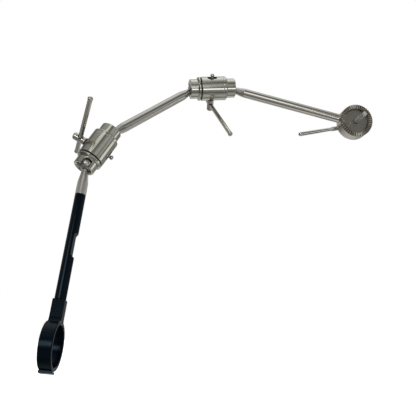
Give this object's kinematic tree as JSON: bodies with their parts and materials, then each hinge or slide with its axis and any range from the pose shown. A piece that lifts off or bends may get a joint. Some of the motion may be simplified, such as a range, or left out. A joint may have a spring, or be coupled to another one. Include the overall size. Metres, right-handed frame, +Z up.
{
  "type": "articulated holding arm",
  "caption": "Lockable articulated holding arm: toothed rosette coupling with a clamp lever, rods joined by double ball-joint housings with tommy bars, and a black rod ending in a ring holder.",
  "frame": {"origin": "centre of the rosette's toothed face, on its clamp screw's axis", "axes": "-Y is the outward normal of the toothed face and +Z is up in the rest pose, so the arm runs towards -X and hangs towards -Z"},
  "size_m": [0.3381, 0.1497, 0.3033],
  "materials": {
    "brushed_stainless": "fine turned and brushed",
    "polished_steel": "polished",
    "black_anodised": "satin black anodised",
    "black_rubber": "matte"
  },
  "bodies": {
    "mount": {"rosette_head": "brushed_stainless", "mount_rod": "brushed_stainless", "mount_rod_pin": "polished_steel"},
    "clamp_washer": {"clamp_washer": "brushed_stainless"},
    "clamp": {"clamp_screw": "polished_steel", "clamp_lever": "polished_steel"},
    "upper_rear_ball": {"upper_rear_ball": "polished_steel"},
    "upper_rear_seat": {"upper_rear_seat": "polished_steel"},
    "upper_housing": {"upper_body": "brushed_stainless", "upper_rear_cap": "brushed_stainless", "upper_thrust_ring": "brushed_stainless", "upper_seal_ring": "black_rubber", "upper_t_washer": "black_rubber"},
    "upper_front_cap": {"upper_front_cap": "brushed_stainless"},
    "upper_front_cup": {"upper_front_cup": "polished_steel"},
    "upper_rear_cup": {"upper_rear_cup": "polished_steel"},
    "upper_draw_pin": {"upper_draw_pin": "polished_steel"},
    "upper_t_screw": {"upper_t_screw": "brushed_stainless"},
    "upper_tommy_bar": {"upper_tommy_bar": "brushed_stainless"},
    "upper_front_seat": {"upper_front_seat": "polished_steel"},
    "upper_front_ball": {"upper_front_ball": "polished_steel"},
    "middle_rod": {"middle_rod": "brushed_stainless"},
    "lower_rear_ball": {"lower_rear_ball": "polished_steel"},
    "lower_rear_seat": {"lower_rear_seat": "polished_steel"},
    "lower_housing": {"lower_body": "brushed_stainless", "lower_rear_cap": "brushed_stainless", "lower_thrust_ring": "brushed_stainless", "lower_seal_ring": "black_rubber", "lower_t_washer": "black_rubber"},
    "lower_front_cap": {"lower_front_cap": "brushed_stainless"},
    "lower_front_cup": {"lower_front_cup": "polished_steel"},
    "lower_rear_cup": {"lower_rear_cup": "polished_steel"},
    "lower_draw_pin": {"lower_draw_pin": "polished_steel"},
    "lower_t_screw": {"lower_t_screw": "brushed_stainless"},
    "lower_tommy_bar": {"lower_tommy_bar": "brushed_stainless"},
    "lower_front_seat": {"lower_front_seat": "polished_steel"},
    "lower_front_ball": {"lower_front_ball": "polished_steel"},
    "handle": {"handle_ferrule": "brushed_stainless", "handle_rod": "black_anodised", "ring_holder": "black_anodised", "holder_set_screw": "polished_steel", "foot_pad": "black_anodised"}
  },
  "joints": [
    {"name": "clamp_screw_draw_back", "type": "slide", "parent": "mount", "child": "clamp_washer", "axis": [0, 1, 0], "range_m": [0, 0.008]},
    {"name": "clamp_lever_turn", "type": "hinge", "parent": "clamp_washer", "child": "clamp", "pos_m": [0, 0.0228, 0], "axis": [0, 1, 0], "continuous": true},
    {"name": "upper_rear_spin", "type": "hinge", "parent": "mount", "child": "upper_rear_ball", "pos_m": [-0.14571, 0.0098, 0.03768], "axis": [-0.9681, 0, 0.2504], "range_deg": [-180, 180]},
    {"name": "upper_rear_swing", "type": "hinge", "parent": "upper_rear_ball", "child": "upper_rear_seat", "pos_m": [-0.14571, 0.0098, 0.03768], "axis": [0.0586, -0.9722, 0.2267], "range_deg": [-45, 6]},
    {"name": "upper_rear_swivel", "type": "hinge", "parent": "upper_rear_seat", "child": "upper_housing", "pos_m": [-0.14571, 0.0098, 0.03768], "axis": [-0.9938, -0.0782, -0.0785], "range_deg": [-180, 180]},
    {"name": "upper_cap_turn", "type": "hinge", "parent": "upper_housing", "child": "upper_front_cap", "pos_m": [-0.18149, 0.00698, 0.03486], "axis": [-0.9938, -0.0782, -0.0785], "range_deg": [-180, 180]},
    {"name": "upper_screw_turn", "type": "hinge", "parent": "upper_housing", "child": "upper_t_screw", "pos_m": [-0.1626, 0.00847, 0.03635], "axis": [-0.004, 0.7333, -0.6799], "range_deg": [0, 360]},
    {"name": "upper_pin_draw", "type": "slide", "parent": "upper_housing", "child": "upper_draw_pin", "axis": [-0.004, 0.7333, -0.6799], "range_m": [-0.0008, 0]},
    {"name": "upper_front_cup_move", "type": "slide", "parent": "upper_housing", "child": "upper_front_cup", "axis": [-0.9938, -0.0782, -0.0785], "range_m": [-0.00007, 0]},
    {"name": "upper_rear_cup_move", "type": "slide", "parent": "upper_housing", "child": "upper_rear_cup", "axis": [0.9938, 0.0782, 0.0785], "range_m": [-0.00007, 0]},
    {"name": "upper_bar_slide", "type": "slide", "parent": "upper_t_screw", "child": "upper_tommy_bar", "axis": [0.2395, -0.6594, -0.7126], "range_m": [-0.061, 0.0024]},
    {"name": "upper_front_swivel", "type": "hinge", "parent": "upper_housing", "child": "upper_front_seat", "pos_m": [-0.18149, 0.00698, 0.03486], "axis": [-0.9938, -0.0782, -0.0785], "range_deg": [-180, 180]},
    {"name": "upper_front_swing", "type": "hinge", "parent": "upper_front_seat", "child": "upper_front_ball", "pos_m": [-0.18149, 0.00698, 0.03486], "axis": [0.0183, -0.8143, 0.5801], "range_deg": [-74, 0]},
    {"name": "upper_front_spin", "type": "hinge", "parent": "upper_front_ball", "child": "middle_rod", "pos_m": [-0.18149, 0.00698, 0.03486], "axis": [-0.718, -0.4145, -0.5592], "range_deg": [-180, 180]},
    {"name": "lower_rear_spin", "type": "hinge", "parent": "middle_rod", "child": "lower_rear_ball", "pos_m": [-0.27231, -0.04545, -0.03588], "axis": [-0.718, -0.4145, -0.5592], "range_deg": [-180, 180]},
    {"name": "lower_rear_swing", "type": "hinge", "parent": "lower_rear_ball", "child": "lower_rear_seat", "pos_m": [-0.27231, -0.04545, -0.03588], "axis": [0.5314, -0.8453, -0.0557], "range_deg": [-47, 4]},
    {"name": "lower_rear_swivel", "type": "hinge", "parent": "lower_rear_seat", "child": "lower_housing", "pos_m": [-0.27231, -0.04545, -0.03588], "axis": [-0.5024, -0.2615, -0.8241], "range_deg": [-180, 180]},
    {"name": "lower_cap_turn", "type": "hinge", "parent": "lower_housing", "child": "lower_front_cap", "pos_m": [-0.29039, -0.05487, -0.06555], "axis": [-0.5024, -0.2615, -0.8241], "range_deg": [-180, 180]},
    {"name": "lower_screw_turn", "type": "hinge", "parent": "lower_housing", "child": "lower_t_screw", "pos_m": [-0.28085, -0.0499, -0.04989], "axis": [-0.8533, -0.0037, 0.5214], "range_deg": [0, 360]},
    {"name": "lower_pin_draw", "type": "slide", "parent": "lower_housing", "child": "lower_draw_pin", "axis": [-0.8533, -0.0037, 0.5214], "range_m": [-0.0008, 0]},
    {"name": "lower_front_cup_move", "type": "slide", "parent": "lower_housing", "child": "lower_front_cup", "axis": [-0.5024, -0.2615, -0.8241], "range_m": [-0.00007, 0]},
    {"name": "lower_rear_cup_move", "type": "slide", "parent": "lower_housing", "child": "lower_rear_cup", "axis": [0.5024, 0.2615, 0.8241], "range_m": [-0.00007, 0]},
    {"name": "lower_bar_slide", "type": "slide", "parent": "lower_t_screw", "child": "lower_tommy_bar", "axis": [0.2647, -0.8646, 0.4271], "range_m": [-0.05, 0.0135]},
    {"name": "lower_front_swivel", "type": "hinge", "parent": "lower_housing", "child": "lower_front_seat", "pos_m": [-0.29039, -0.05487, -0.06555], "axis": [-0.5024, -0.2615, -0.8241], "range_deg": [-180, 180]},
    {"name": "lower_front_swing", "type": "hinge", "parent": "lower_front_seat", "child": "lower_front_ball", "pos_m": [-0.29039, -0.05487, -0.06555], "axis": [0.0973, -0.9642, 0.2467], "range_deg": [-61, 14]},
    {"name": "lower_front_spin", "type": "hinge", "parent": "lower_front_ball", "child": "handle", "pos_m": [-0.29039, -0.05487, -0.06555], "axis": [-0.12, -0.2574, -0.9588], "range_deg": [-180, 180]}
  ],
  "couplings": [
    {"joint": "upper_pin_draw", "follows": "upper_screw_turn", "m_per_rad": -0.00012732},
    {"joint": "lower_pin_draw", "follows": "lower_screw_turn", "m_per_rad": -0.00012732},
    {"joint": "upper_front_cup_move", "follows": "upper_screw_turn", "m_per_rad": -0.00001114},
    {"joint": "upper_rear_cup_move", "follows": "upper_screw_turn", "m_per_rad": -0.00001114},
    {"joint": "lower_front_cup_move", "follows": "lower_screw_turn", "m_per_rad": -0.00001114},
    {"joint": "lower_rear_cup_move", "follows": "lower_screw_turn", "m_per_rad": -0.00001114}
  ]
}
